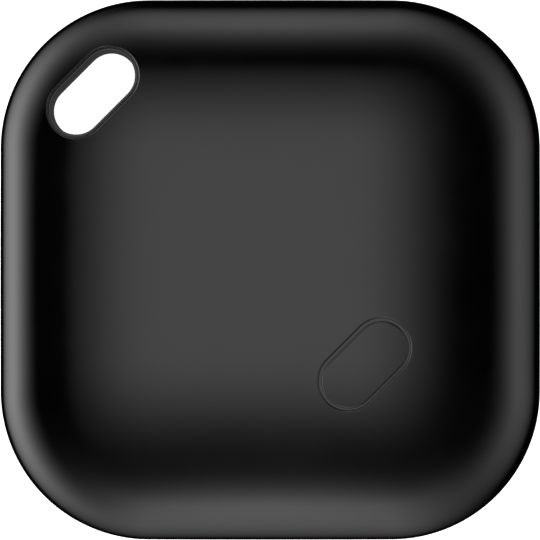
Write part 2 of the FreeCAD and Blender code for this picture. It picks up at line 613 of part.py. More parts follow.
def make_switch():
    base = body_named("switch_base")
    block = sketch_on(base, "switch_block")
    draw_rectangle(block, "switch_length", "switch_width")
    pad(base, block, "switch_base_height")
    well = sketch_on(base, "switch_well_circle", "switch_floor")
    draw_circle(well, "switch_well")
    pocket(base, well, "switch_base_height")
    place_on_button(base, BOARD_TOP)

    cover = body_named("switch_cover")
    plate = sketch_on(cover, "switch_plate")
    draw_rectangle(plate, "switch_length", "switch_width")
    draw_circle(plate, "plunger_radius + plunger_gap")
    pad(cover, plate, "switch_cover_height")
    place_on_button(cover, f"{BOARD_TOP} + switch_base_height")

    dome = body_named("switch_dome")
    rim = "(switch_well - 0.1)"
    profile = sketch_on(dome, "dome_profile", role="XZ_Plane")
    under = "(dome_height - dome_sheet)"
    draw_outline(profile, [("0", under), (f"{rim} * 0.55", f"{under} * 0.75"),
                           (f"{rim} - dome_sheet", "0"), (rim, "0"),
                           (f"{rim} * 0.6", "dome_height - dome_sheet * 1.2"), ("0", "dome_height")])
    spin(dome, profile)
    place_on_button(dome, WELL_FLOOR)

    plunger = doc.addObject("Part::Cylinder", "switch_plunger")
    plunger.Label = "switch_plunger"
    plunger.setExpression("Radius", sized("plunger_radius"))
    plunger.setExpression("Height", sized("plunger_height"))
    place_on_button(plunger, PLUNGER_FOOT)


def make_board():
    board = body_named("main_board")
    outline = sketch_on(board, "board_outline")
    draw_rounded_square(outline, BOARD_HALF, BOARD_CORNER)
    pad(board, outline, "board_thickness")
    cut = f"{SLOT_REACH} - {COLLAR_RADIUS} - board_slot_gap"
    corner = diagonal_sketch(board, "board_corner", "0", f"{cut} + side / 4")
    draw_rectangle(corner, "side", "side / 2")
    pocket(board, corner, "board_thickness")
    hole = sketch_on(board, "board_hole", turn="screw_turn")
    draw_circle(hole, "screw_radius + screw_hole_gap", SCREW_REACH)
    repeat_round(board, pocket(board, hole, "board_thickness"), 3)
    board.setExpression("Placement.Base.z", sized(BOARD_FOOT))


def make_screws():
    screws = body_named("board_screws")
    screws.AllowCompound = True
    head = sketch_on(screws, "screw_head", BOARD_TOP, turn="screw_turn")
    draw_circle(head, "screw_head_radius", SCREW_REACH)
    repeat_round(screws, pad(screws, head, "screw_head_height"), 3)
    shank = sketch_on(screws, "screw_shank", f"{BOARD_TOP} - screw_length", turn="screw_turn")
    draw_circle(shank, "screw_radius", SCREW_REACH)
    repeat_round(screws, pad(screws, shank, "screw_length"), 3)
    recess = sketch_on(screws, "screw_recess", f"{BOARD_TOP} + screw_head_height / 2", turn="screw_turn")
    draw_rectangle(recess, "screw_head_radius * 1.2", "screw_head_radius * 0.3", SCREW_REACH)
    repeat_round(screws, pocket(screws, recess, "screw_head_height"), 3)


def make_cell():
    """The can is the + pole and faces the door; the cap is the - pole and faces the board."""
    inner = "(cell_radius - cell_sheet)"
    crimp = "(cell_height - cell_cap_rise)"
    lip = f"({CELL_CAP} + cell_seal_lip)"
    wall = f"({CELL_CAP} - cell_sheet)"
    ceiling = "(cell_height - cell_sheet)"
    profiles = {
        "cell_can": [("0", "0"), ("cell_radius", "0"), ("cell_radius", crimp), (lip, crimp),
                     (lip, f"{crimp} - cell_sheet"), (inner, f"{crimp} - cell_sheet"), (inner, "cell_sheet"),
                     ("0", "cell_sheet")],
        "cell_seal": [(wall, "cell_sheet"), (inner, "cell_sheet"), (inner, f"{crimp} - cell_sheet"),
                      (lip, f"{crimp} - cell_sheet"), (lip, crimp), (CELL_CAP, crimp),
                      (CELL_CAP, "cell_sheet * 2"), (wall, "cell_sheet * 2")],
        "cell_cap": [("0", ceiling), (wall, ceiling), (wall, "cell_sheet * 2"),
                     (CELL_CAP, "cell_sheet * 2"), (CELL_CAP, "cell_height"),
                     ("0", "cell_height")],
    }
    for label, corners in profiles.items():
        piece = body_named(label)
        profile = sketch_on(piece, f"{label}_profile", role="XZ_Plane")
        draw_outline(profile, corners)
        spin(piece, profile)
        piece.setExpression("Placement.Base.z", sized(CELL_FOOT))
    discs = [
        ("cell_cathode", "cell_sheet", "cell_height - 2 * cell_sheet - anode_height - separator_height"),
        ("cell_separator", "cell_height - cell_sheet - anode_height - separator_height", "separator_height"),
        ("cell_anode", "cell_height - cell_sheet - anode_height", "anode_height"),
    ]
    for label, foot, height in discs:
        make_disc(label, wall, height, f"{CELL_FOOT} + {foot}")


def make_disc(label, radius, height, level, reach="0"):
    """A plain disc, at a reach towards the slot's corner."""
    disc = doc.addObject("Part::Cylinder", label)
    disc.Label = label
    disc.setExpression("Radius", sized(radius))
    disc.setExpression("Height", sized(height))
    disc.setExpression("Placement.Base.x", sized(f"0 - ({reach}) * {DIAGONAL}"))
    disc.setExpression("Placement.Base.y", sized(f"({reach}) * {DIAGONAL}"))
    disc.setExpression("Placement.Base.z", sized(level))
    return disc


def make_contacts():
    """Bent strips on the board's underside; each profile's 0, 0 is at the board and at what it touches."""
    positive = body_named("positive_contact")
    side = sketch_on(positive, "positive_profile", role="XZ_Plane")
    draw_outline(side, [
        ("positive_foot", "0"), ("positive_bend", "0"), ("0", "0 - positive_drop"),
        ("positive_tip", "0 - positive_drop - positive_tip"),
        ("positive_tip + contact_sheet", "0 - positive_drop - positive_tip + contact_sheet / 3"),
        ("contact_sheet * 1.2", "0 - positive_drop"), ("positive_bend + contact_sheet", "0 - contact_sheet"),
        ("positive_foot", "0 - contact_sheet")])
    pad(positive, side, "contact_width", both_ways=True)
    positive.Placement = Placement(Vector(0, 0, 0), Rotation(Vector(0, 0, 1), 1))
    positive.setExpression("Placement.Base.x", sized("cell_radius * cos(positive_turn)"))
    positive.setExpression("Placement.Base.y", sized("cell_radius * sin(positive_turn)"))
    positive.setExpression("Placement.Base.z", sized(BOARD_FOOT))
    positive.setExpression("Placement.Rotation.Angle", sized("positive_turn"))

    negative = body_named("negative_contact")
    arm = sketch_on(negative, "negative_profile", role="XZ_Plane")
    draw_outline(arm, [
        ("negative_foot", "0"), ("0", "0"), ("0 - negative_reach", "contact_sheet - contact_gap"),
        ("0 - negative_reach - negative_tip", "contact_sheet * 2 - contact_gap"),
        ("0 - negative_reach - negative_tip", "contact_sheet - contact_gap"),
        ("0 - negative_reach", "0 - contact_gap"), ("contact_sheet / 3", "0 - contact_sheet"),
        ("negative_foot", "0 - contact_sheet")])
    pad(negative, arm, "contact_width", both_ways=True)
    negative.setExpression("Placement.Base.z", sized(BOARD_FOOT))


def make_door():
    door = body_named("battery_door")
    cup = "(cell_radius + cup_gap)"
    height = f"({LUG_TOP} - door_sink)"
    groove_foot = "(door_flange + seal_shoulder)"
    groove_top = f"({groove_foot} + seal_groove)"
    bottom = f"({DOOR_NECK} - seal_depth)"
    profile = sketch_on(door, "door_profile", role="XZ_Plane")
    draw_outline(profile, [("0", "0"), (DOOR_RADIUS, "0"), (DOOR_RADIUS, "door_flange"),
                           (DOOR_NECK, "door_flange"), (DOOR_NECK, groove_foot), (bottom, groove_foot),
                           (bottom, groove_top), (DOOR_NECK, groove_top), (DOOR_NECK, height),
                           (cup, height), (cup, "door_plate"), ("0", "door_plate")])
    spin(door, profile)
    lug = sketch_on(door, "door_lug", f"{LUG_FOOT} - door_sink")
    draw_rectangle(lug, "lug_lap + 0.8", "lug_width", f"{DOOR_NECK} + (lug_lap - 0.8) / 2")
    repeat_round(door, pad(door, lug, "lug_height"), 3)
    coin = sketch_on(door, "coin_slot")
    draw_stadium(coin, "coin_slot_length - coin_slot_width", "coin_slot_width / 2")
    pocket(door, coin, "coin_slot_depth")
    mark = sketch_on(door, "lock_mark", turn="90")
    draw_circle(mark, "mark_radius", "mark_reach")
    pocket(door, mark, "mark_depth")
    rim = value(DOOR_RADIUS)
    round_edges(door, "lip_round", lambda edge: edge.BoundBox.ZMax < 0.001
                and edge.BoundBox.XMax > rim - 0.01)
    door.setExpression("Placement.Base.z", sized("door_sink"))

    seal = doc.addObject("Part::Torus", "door_seal")
    seal.Label = "door_seal"
    seal.setExpression("Radius1", sized(f"{bottom} + seal_thick / 2"))
    seal.setExpression("Radius2", sized("seal_thick / 2"))
    seal.setExpression("Placement.Base.z", sized(f"door_sink + {groove_foot} + seal_groove / 2"))
    make_disc("door_pad", "pad_radius", "pad_height", DOOR_TOP)


def make_sounder():
    glue = body_named("sounder_adhesive")
    ring = diagonal_sketch(glue, "glue_ring", "0", "sounder_reach")
    draw_circle(ring, "sounder_radius")
    draw_circle(ring, "sounder_radius - glue_width")
    pad(glue, ring, "glue_sheet")
    glue.setExpression("Placement.Base.z", sized(f"{SEAT} - glue_sheet"))
    brass = f"{SEAT} - glue_sheet - sounder_sheet"
    make_disc("sounder_disc", "sounder_radius", "sounder_sheet", brass, "sounder_reach")
    ceramic = f"{brass} - ceramic_sheet"
    make_disc("sounder_ceramic", "ceramic_radius", "ceramic_sheet", ceramic, "sounder_reach")
    springs = [("sounder_spring_outer", f"{brass} - {BOARD_TOP}", "(ceramic_radius + 0.2)"),
               ("sounder_spring_inner", f"{ceramic} - {BOARD_TOP}", "(ceramic_radius / 3)")]
    for label, height, reach in springs:
        spring = body_named(label)
        side = sketch_on(spring, f"{label}_profile", role="XZ_Plane")
        draw_outline(side, [("0", "0"), ("spring_length", "0"), ("spring_length", "spring_sheet"),
                            ("spring_sheet * 2", "spring_sheet"), ("spring_tip", f"{height} - spring_sheet"),
                            ("spring_tip * 2", f"{height} - spring_sheet"), ("spring_tip * 2", height),
                            ("spring_tip - spring_sheet", height)])
        pad(spring, side, "spring_width", both_ways=True)
        spring.setExpression("Placement.Base.x", sized(f"{reach} - sounder_reach * {DIAGONAL}"))
        spring.setExpression("Placement.Base.y", sized(f"sounder_reach * {DIAGONAL}"))
        spring.setExpression("Placement.Base.z", sized(BOARD_TOP))


def make_block(label, length, width, height, across, up, turn=0):
    """A plain block on the board, placed by its middle."""
    block = doc.addObject("Part::Box", label)
    block.Label = label
    block.setExpression("Length", sized(length))
    block.setExpression("Width", sized(width))
    block.setExpression("Height", sized(height))
    block.Placement = Placement(Vector(0, 0, 0), Rotation(Vector(0, 0, 1), turn))
    cosine = math.cos(math.radians(turn))
    sine = math.sin(math.radians(turn))
    block.setExpression("Placement.Base.x",
                        sized(f"{across} - {cosine} * ({length}) / 2 + {sine} * ({width}) / 2"))
    block.setExpression("Placement.Base.y",
                        sized(f"{up} - {sine} * ({length}) / 2 - {cosine} * ({width}) / 2"))
    block.setExpression("Placement.Base.z", sized(BOARD_TOP))
    return block


def make_chips():
    make_block("bluetooth_chip", "chip_side", "chip_side", "chip_height", "chip_across", "chip_up")
    make_block("main_crystal", "crystal_length", "crystal_width", "crystal_height",
               "chip_across + chip_side / 2 + small_gap * 4 + crystal_length / 2", "chip_up - 1")
    make_block("clock_crystal", "clock_length", "clock_width", "clock_height",
               f"{SCREW_REACH} * cos(screw_turn + 120) + screw_head_radius + small_gap + clock_length / 2",
               "chip_up + chip_side / 2 + small_gap * 3 + clock_width")
    make_block("chip_antenna", "antenna_length", "antenna_width", "antenna_height",
               f"{ANTENNA_REACH} * {DIAGONAL}", f"{ANTENNA_REACH} * {DIAGONAL}", -45)
    make_block("chip_inductor", "small_length * 1.6", "small_width * 1.6", "small_height * 1.3",
               f"{ANTENNA_REACH} * 0.5", f"{ANTENNA_REACH} * 0.72", -45)
    row_up = "chip_up - chip_side / 2 - small_gap - small_length / 2"
    row_over = "chip_up + chip_side / 2 + small_gap + small_length / 2"
    groups = {"chip_capacitors": (row_up, 5), "chip_resistors": (row_over, 3)}
    for label, (row, count) in groups.items():
        blocks = []
        for index in range(count):
            across = f"chip_across + ({index} - {count - 1} / 2) * small_pitch"
            name = f"{label}_{index}"
            blocks.append(make_block(name, "small_width", "small_length", "small_height", across, row))
        group = doc.addObject("Part::Compound", label)
        group.Label = label
        group.Links = blocks


def make_test_pads():
    pads = body_named("test_pads")
    pads.AllowCompound = True
    land = sketch_on(pads, "test_land", turn="screw_turn + 30")
    draw_circle(land, "pad_land_radius", f"{BOARD_HALF} - pad_land_inset")
    repeat_round(pads, pad(pads, land, "pad_land_height"), 3)
    pads.setExpression("Placement.Base.z", sized(f"{BOARD_FOOT} - pad_land_height"))


NODES = [
    "front_shell", "rear_shell", "housing_gasket", "button_cap",
    "switch_base", "switch_dome", "switch_plunger", "switch_cover",
    "main_board", "bluetooth_chip", "main_crystal", "clock_crystal", "chip_capacitors", "chip_resistors",
    "chip_inductor", "chip_antenna", "test_pads", "board_screws",
    "sounder_disc", "sounder_ceramic", "sounder_adhesive", "sounder_spring_outer", "sounder_spring_inner",
    "positive_contact", "negative_contact",
    "cell_can", "cell_seal", "cell_cap", "cell_cathode", "cell_separator", "cell_anode",
    "battery_door", "door_seal", "door_pad",
]

make_front_shell()
make_rear_shell()
make_gasket()
make_button_cap()
make_switch()
make_board()
make_screws()
make_cell()
make_contacts()
make_door()
make_sounder()
make_chips()
make_test_pads()
doc.recompute()

for item in doc.Objects:
    if "Invalid" in item.State or "Error" in item.State:
        raise RuntimeError(f"{item.Name} failed")
pieces = {}
for label in NODES:
    piece = doc.getObjectsByLabel(label)[0]
    shape = piece.Shape
    if shape.isNull() or not shape.isValid() or not shape.Solids:
        raise RuntimeError(f"{label} has no valid solid")
    pieces[label] = piece

os.makedirs("parts", exist_ok=True)
for label, piece in pieces.items():
    piece.Shape.exportStep(f"parts/{label}.step")
    box = piece.Shape.BoundBox
    print(f"{label}: {piece.Shape.Volume:.3f} mm3, {len(piece.Shape.Solids)} solid(s),"
          f" z {box.ZMin:.3f} to {box.ZMax:.3f}")
print(f"thickness {value(THICKNESS):.3f} mm, slot {value(SLOT_REACH):.3f} mm from the middle")
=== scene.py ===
import json
import math

import bmesh
import bpy
import numpy as np
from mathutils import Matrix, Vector
from mathutils.geometry import delaunay_2d_cdt


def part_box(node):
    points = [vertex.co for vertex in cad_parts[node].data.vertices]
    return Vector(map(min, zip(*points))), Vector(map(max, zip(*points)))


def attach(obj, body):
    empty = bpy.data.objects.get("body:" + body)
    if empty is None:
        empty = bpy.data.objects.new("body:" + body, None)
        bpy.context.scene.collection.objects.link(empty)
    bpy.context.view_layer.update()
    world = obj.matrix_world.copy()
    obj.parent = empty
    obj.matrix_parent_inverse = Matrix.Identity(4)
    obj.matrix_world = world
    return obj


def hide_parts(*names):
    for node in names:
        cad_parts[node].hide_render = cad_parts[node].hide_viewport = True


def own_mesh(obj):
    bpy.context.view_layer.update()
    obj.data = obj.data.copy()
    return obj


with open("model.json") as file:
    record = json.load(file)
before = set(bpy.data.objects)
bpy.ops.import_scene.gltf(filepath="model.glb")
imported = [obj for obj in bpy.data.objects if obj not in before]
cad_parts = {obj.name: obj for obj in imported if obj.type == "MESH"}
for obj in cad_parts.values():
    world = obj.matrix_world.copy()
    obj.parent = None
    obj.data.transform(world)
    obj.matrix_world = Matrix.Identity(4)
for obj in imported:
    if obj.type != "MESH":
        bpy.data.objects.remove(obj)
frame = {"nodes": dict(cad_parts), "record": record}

mm = 0.001
scene = bpy.context.scene
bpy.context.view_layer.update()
shellLow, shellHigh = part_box("front_shell")
half = (shellHigh.x - shellLow.x) / 2
top, parting = shellHigh.z, shellLow.z
print("tag loaded,", round(2 * half / mm, 2), "mm wide and", round(top / mm, 2), "mm thick")


# mesh helpers

plan = {"cornerRadius": 11 * mm, "cornerSteps": 54, "sideSteps": 56, "endSteps": 32, "spineSteps": 16,
        "gridStep": 0.36 * mm, "weld": 0.0002 * mm, "sharp": math.radians(35)}
diagonal = Vector((1, 1)).normalized()     # the slot and the button both lie along this


def squareLoop(inset):
    # the tag's rounded square, moved in, with the same count of points whatever the inset
    radius = plan["cornerRadius"] - inset
    middle = half - plan["cornerRadius"]
    loop = []
    for quarter in range(4):
        turn = quarter * math.pi / 2
        right, up = Vector((math.cos(turn), math.sin(turn))), Vector((-math.sin(turn), math.cos(turn)))
        corner = (right + up) * middle
        for step in range(plan["cornerSteps"]):
            angle = step / plan["cornerSteps"] * math.pi / 2
            loop.append(corner + (right * math.cos(angle) + up * math.sin(angle)) * radius)
        for step in range(plan["sideSteps"]):
            loop.append(corner + up * radius - right * (2 * middle * step / plan["sideSteps"]))
    return loop


def stadiumLoop(centre, spine, radius):
    across = Vector((-diagonal.y, diagonal.x))
    loop = []
    for end in (1, -1):
        middle = centre + diagonal * (end * spine / 2)
        for step in range(plan["endSteps"]):
            angle = step / plan["endSteps"] * math.pi - math.pi / 2
            loop.append(middle + (diagonal * math.cos(angle) + across * math.sin(angle)) * (end * radius))
        start = middle + across * (end * radius)
        for step in range(plan["spineSteps"]):
            loop.append(start - diagonal * (end * spine * step / plan["spineSteps"]))
    return loop


def stadiumReach(points, centre, spine):
    # how far each point is from the slot's spine
    away = points - np.array(centre)
    along = np.maximum(np.abs(away @ np.array(diagonal)) - spine / 2, 0)
    return np.hypot(along, away @ np.array((-diagonal.y, diagonal.x)))


def insetOf(points):
    # how far each point lies inside the outline, and the way straight out to it
    away = np.abs(points) - (half - plan["cornerRadius"])
    onCorner = (away > 0).all(1)
    reach = np.hypot(away[:, 0], away[:, 1]) + 1e-12
    inset = plan["cornerRadius"] - np.where(onCorner, reach, away.max(1))
    sideways = np.where(onCorner, away[:, 0] / reach, away[:, 0] > away[:, 1])
    upward = np.where(onCorner, away[:, 1] / reach, away[:, 0] <= away[:, 1])
    return inset, np.stack([sideways, upward], 1) * np.sign(points)


def addRing(bm, loop, heights, normals=None):
    layer = bm.verts.layers.float_vector["skinNormal"]
    ring = []
    for index, (point, height) in enumerate(zip(loop, heights)):
        vert = bm.verts.new((point[0], point[1], height))
        if normals is not None:
            vert[layer] = normals[index]
        ring.append(vert)
    return ring


def joinRings(bm, first, second):
    count = len(first)
    for index in range(count):
        after = (index + 1) % count
        bm.faces.new((first[index], first[after], second[after], second[index]))


def runLength(loop):
    # share of the way round at each corner of a closed loop
    steps = [(loop[(i + 1) % len(loop)].co - vert.co).length for i, vert in enumerate(loop)]
    return [0] + list(np.cumsum(steps) / sum(steps))


def zipRings(bm, first, second):
    # triangles between two closed rings that have different counts of points
    area = sum(a.co.x * b.co.y - b.co.x * a.co.y for a, b in zip(second, second[1:] + second[:1]))
    if area < 0:
        second = second[::-1]
    start = min(range(len(second)), key=lambda i: (second[i].co - first[0].co).length)
    second = second[start:] + second[:start]
    here, there = runLength(first), runLength(second)
    i = j = 0
    while i < len(first) or j < len(second):
        a, b = first[i % len(first)], second[j % len(second)]
        if j == len(second) or (i < len(first) and here[i + 1] <= there[j + 1]):
            i += 1
            bm.faces.new((a, first[i % len(first)], b))
        else:
            j += 1
            bm.faces.new((a, second[j % len(second)], b))


def fillInside(bm, outer, holes, lift, isHole, step):
    # even triangles between an outer ring and the rings of its openings, laid on a surface
    loops = [outer] + holes
    flat = [Vector(vert.co.xy) for loop in loops for vert in loop]
    edges = []
    for loop in loops:
        first = len(edges)
        edges += [(first + i, first + (i + 1) % len(loop)) for i in range(len(loop))]
    rim = np.array([tuple(point) for point in flat])
    low, high = rim.min(0), rim.max(0)
    rows = np.arange(low[1], high[1], step * math.sqrt(3) / 2)
    grid = np.array([(x + (row % 2) * step / 2, y) for row, y in enumerate(rows)
                     for x in np.arange(low[0], high[0], step)])
    keep = ~isHole(grid)
    for part in range(0, len(rim), 64):
        away = np.linalg.norm(grid[:, None] - rim[None, part:part + 64], axis=2).min(1)
        keep &= away > step * 0.7
    grid = grid[keep]
    points, _, faces, _, _, _ = delaunay_2d_cdt(flat + [Vector(point) for point in grid], edges, [], 0, 1e-9)
    corners = np.array([tuple(point) for point in points])
    heights, normals = lift(corners)
    verts = addRing(bm, corners, heights, normals)
    middles = corners[np.array(faces)].mean(1)
    for face, outside in zip(faces, isHole(middles)):
        if not outside:
            bm.faces.new([verts[index] for index in face])


def startSkin(node, topmost, alsoGone=None):
    # a copy of a node's mesh without its smooth outside, which is about to be made anew
    bm = bmesh.new()
    bm.from_mesh(frame["nodes"][node].data)
    bm.verts.layers.float_vector.new("skinNormal")
    bmesh.ops.remove_doubles(bm, verts=bm.verts, dist=plan["weld"])
    bm.normal_update()
    pick = max if topmost else min
    seed = pick(bm.faces, key=lambda face: face.calc_center_median().z)
    found, front = {seed}, [seed]
    while front:
        face = front.pop()
        for edge in face.edges:
            for other in edge.link_faces:
                if other not in found and edge.calc_face_angle(math.pi) < math.radians(65):
                    found.add(other)
                    front.append(other)
    if alsoGone:
        found |= {face for face in bm.faces if alsoGone(face)}
    bmesh.ops.delete(bm, geom=list(found), context="FACES")
    return bm


def openLoops(bm):
    waiting = {edge for edge in bm.edges if edge.is_boundary}
    loops = []
    while waiting:
        edge = waiting.pop()
        loop = [edge.verts[0], edge.verts[1]]
        while True:
            following = next((e for e in loop[-1].link_edges if e in waiting), None)
            if following is None:
                break
            waiting.remove(following)
            loop.append(following.other_vert(loop[-1]))
        loops.append(loop[:-1] if loop[-1] == loop[0] else loop)
    return loops


def finishSkin(bm, node, name):
    bmesh.ops.remove_doubles(bm, verts=bm.verts, dist=plan["weld"])
    bmesh.ops.recalc_face_normals(bm, faces=bm.faces)
    bare = sum(1 for edge in bm.edges if not edge.is_manifold)
    for edge in bm.edges:
        edge.smooth = edge.calc_face_angle(0) < plan["sharp"]
    for face in bm.faces:
        face.smooth = True
    mesh = bpy.data.meshes.new(name)
    bm.to_mesh(mesh)
    bm.free()
    skin = np.zeros((len(mesh.vertices), 3), np.float32)
    mesh.attributes["skinNormal"].data.foreach_get("vector", skin.ravel())
    normals = np.zeros((len(mesh.loops), 3), np.float32)
    mesh.corner_normals.foreach_get("vector", normals.ravel())
    vertexOf = np.zeros(len(mesh.loops), np.int32)
    mesh.loops.foreach_get("vertex_index", vertexOf)
    exact = skin[vertexOf]
    close = (exact * normals).sum(1) > math.cos(plan["sharp"])
    normals[close] = exact[close]
    mesh.normals_split_custom_set(normals)
    mesh.attributes.remove(mesh.attributes["skinNormal"])
    piece = bpy.data.objects.new(name, mesh)
    scene.collection.objects.link(piece)
    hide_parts(node)
    print(name, "has", len(mesh.polygons), "faces and", bare, "open edges")
    return piece


# the domed front, shared by the front shell and the button

front = {"sag": 1.88 * mm, "rimWidth": 6.17 * mm, "rimFall": 2.9 * mm, "rimPower": 3.6,
         "rimRings": 30, "rimReach": 2.4 * mm, "lip": 0.12 * mm, "lipSteps": 7,
         "spine": 3.46 * mm, "slotReach": 18.498 * mm, "slotOpening": 2.155 * mm,
         "buttonReach": 9.83 * mm, "buttonOpening": 2.18 * mm}
towardSlot = Vector((-1, 1)).normalized()
slotCentre = towardSlot * front["slotReach"]
buttonCentre = towardSlot * -front["buttonReach"]


def domeSurface(points):
    # heights of the dome, and how far each point of it stands over the dome's own middle
    cornerTip = (half - plan["cornerRadius"]) * math.sqrt(2) + plan["cornerRadius"]
    bend = (cornerTip ** 2 + front["sag"] ** 2) / (2 * front["sag"])
    upright = np.sqrt(bend ** 2 - (points ** 2).sum(1))
    return top - bend + upright, upright


def frontSurface(points):
    # heights and normals of a shallow dome whose rim falls away ever faster towards the outline
    power = front["rimPower"]
    inset, outward = insetOf(points)
    dome, upright = domeSurface(points)
    share = np.clip(1 - inset / front["rimWidth"], 0, 1 - 1e-9)
    rest = 1 - share ** power
    fall = front["rimFall"] * (1 - rest ** (1 / power))
    slope = front["rimFall"] / front["rimWidth"] * share ** (power - 1) * rest ** (1 / power - 1)
    lean = points / upright[:, None] + slope[:, None] * outward
    normals = np.concatenate([lean, np.ones((len(points), 1))], 1)
    normals /= np.linalg.norm(normals, axis=1, keepdims=True)
    return dome - fall, normals


def rimInsets():
    # evenly spaced along the rim's own curve
    power = front["rimPower"]
    swing = np.linspace(0, math.pi / 2, 4000)
    inset = front["rimWidth"] * (1 - np.cos(swing) ** (2 / power))
    height = front["rimFall"] * np.sin(swing) ** (2 / power)
    length = np.concatenate([[0], np.cumsum(np.hypot(np.diff(inset), np.diff(height)))])
    end = np.interp(front["rimReach"], inset, length)
    return np.interp(np.linspace(0, end, front["rimRings"]), length, inset)


def roundLip(bm, centre, radius, opening):
    # rings that roll over from the front's surface into the wall of an opening, or down a button's side
    way = 1 if opening else -1
    lip = front["lip"]
    start = np.array(stadiumLoop(centre, front["spine"], radius + way * lip))
    wall = np.array(stadiumLoop(centre, front["spine"], radius))
    heights, normals = frontSurface(start)
    sideways = np.concatenate([(wall - start) / lip, np.zeros((len(wall), 1))], 1)
    rings = []
    for angle in np.linspace(0, math.pi / 2, front["lipSteps"]):
        loop = start + (wall - start) * math.sin(angle)
        leaning = normals * math.cos(angle) + sideways * math.sin(angle)
        leaning /= np.linalg.norm(leaning, axis=1, keepdims=True)
        rings.append(addRing(bm, loop, heights - lip * (1 - math.cos(angle)), leaning))
    for upper, lower in zip(rings, rings[1:]):
        joinRings(bm, upper, lower)
    return rings[0], rings[-1]


def loopAt(loops, x, y, z):
    # the open loop whose box has its middle nearest to a point
    def miss(loop):
        corners = np.array([tuple(vert.co) for vert in loop])
        return np.linalg.norm((corners.min(0) + corners.max(0)) / 2 - (x, y, z))
    return min(loops, key=miss)


# front shell

frontSkin = {"seamRound": 0.08 * mm, "seamSteps": 5, "wallRings": 6, "seamFace": 0.6 * mm}


def seamRings(bm, level, up):
    # the broken edge at the seam, from its flat face out to the side wall
    edge = frontSkin["seamRound"]
    rings = []
    for angle in np.linspace(math.pi / 2, 0, frontSkin["seamSteps"]):
        loop = squareLoop(edge * (1 - math.cos(angle)))
        _, outward = insetOf(np.array(loop))
        tilt = np.full((len(loop), 1), -up * math.sin(angle))
        normals = np.concatenate([outward * math.cos(angle), tilt], 1)
        rings.append(addRing(bm, loop, [level + up * edge * (1 - math.sin(angle))] * len(loop), normals))
    return rings


def onSeam(face, width):
    # the flat face where the shells meet
    if any(abs(vert.co.z - parting) > 0.001 * mm for vert in face.verts):
        return False
    return insetOf(np.array([tuple(face.calc_center_median().xy)]))[0][0] < width


def buildFrontShell():
    bm = startSkin("front_shell", True, lambda face: onSeam(face, frontSkin["seamFace"]))
    left = openLoops(bm)
    rings = seamRings(bm, parting, 1)
    zipRings(bm, rings[0], loopAt(left, 0, 0, parting))
    edge = np.array(squareLoop(0))
    rimFoot, _ = frontSurface(edge)
    _, outward = insetOf(edge)
    level = np.concatenate([outward, np.zeros((len(edge), 1))], 1)
    foot = parting + frontSkin["seamRound"]
    for step in range(1, frontSkin["wallRings"]):
        rings.append(addRing(bm, edge, foot + (rimFoot - foot) * step / frontSkin["wallRings"], level))
    for inset in rimInsets():
        loop = np.array(squareLoop(inset))
        heights, normals = frontSurface(loop)
        rings.append(addRing(bm, loop, heights, normals))
    for lower, upper in zip(rings, rings[1:]):
        joinRings(bm, lower, upper)
    lips = []
    openings = [(slotCentre, front["slotOpening"]), (buttonCentre, front["buttonOpening"])]
    for centre, radius in openings:
        lip, wall = roundLip(bm, centre, radius, True)
        zipRings(bm, wall, loopAt(left, centre.x, centre.y, wall[0].co.z))
        lips.append(lip)

    def outside(points):
        gone = insetOf(points)[0] < front["rimReach"] + 0.0001 * mm
        for centre, radius in openings:
            gone |= stadiumReach(points, centre, front["spine"]) < radius + front["lip"]
        return gone

    fillInside(bm, rings[-1], lips, frontSurface, outside, plan["gridStep"])
    return finishSkin(bm, "front_shell", "frontShell")


# rear shell

rearSkin = {"edge": 2.2 * mm, "edgeRings": 18, "wallRings": 4, "seamFace": 0.65 * mm, "slotBore": 1.885 * mm,
            "boreRings": 16, "collarRadius": 2.085 * mm, "collarSink": 0.16 * mm, "collarEdge": 0.05 * mm,
            "doorSeat": 13.3 * mm, "markRadius": 0.5 * mm,
            "markReach": 14.7 * mm, "markTurns": (90, 50), "gridStep": 0.8 * mm}


def flatRear(points):
    return np.zeros(len(points)), np.tile((0.0, 0.0, -1.0), (len(points), 1))


def onLand(face):
    # the collar's narrow upper end, just below the front's surface
    middle = face.calc_center_median()
    if middle.z < frontSurface(np.array([tuple(slotCentre)]))[0][0] - 1 * mm or face.normal.z < 0.9:
        return False
    reach = stadiumReach(np.array([tuple(middle.xy)]), slotCentre, front["spine"])[0]
    return reach < rearSkin["collarRadius"] + 0.01 * mm


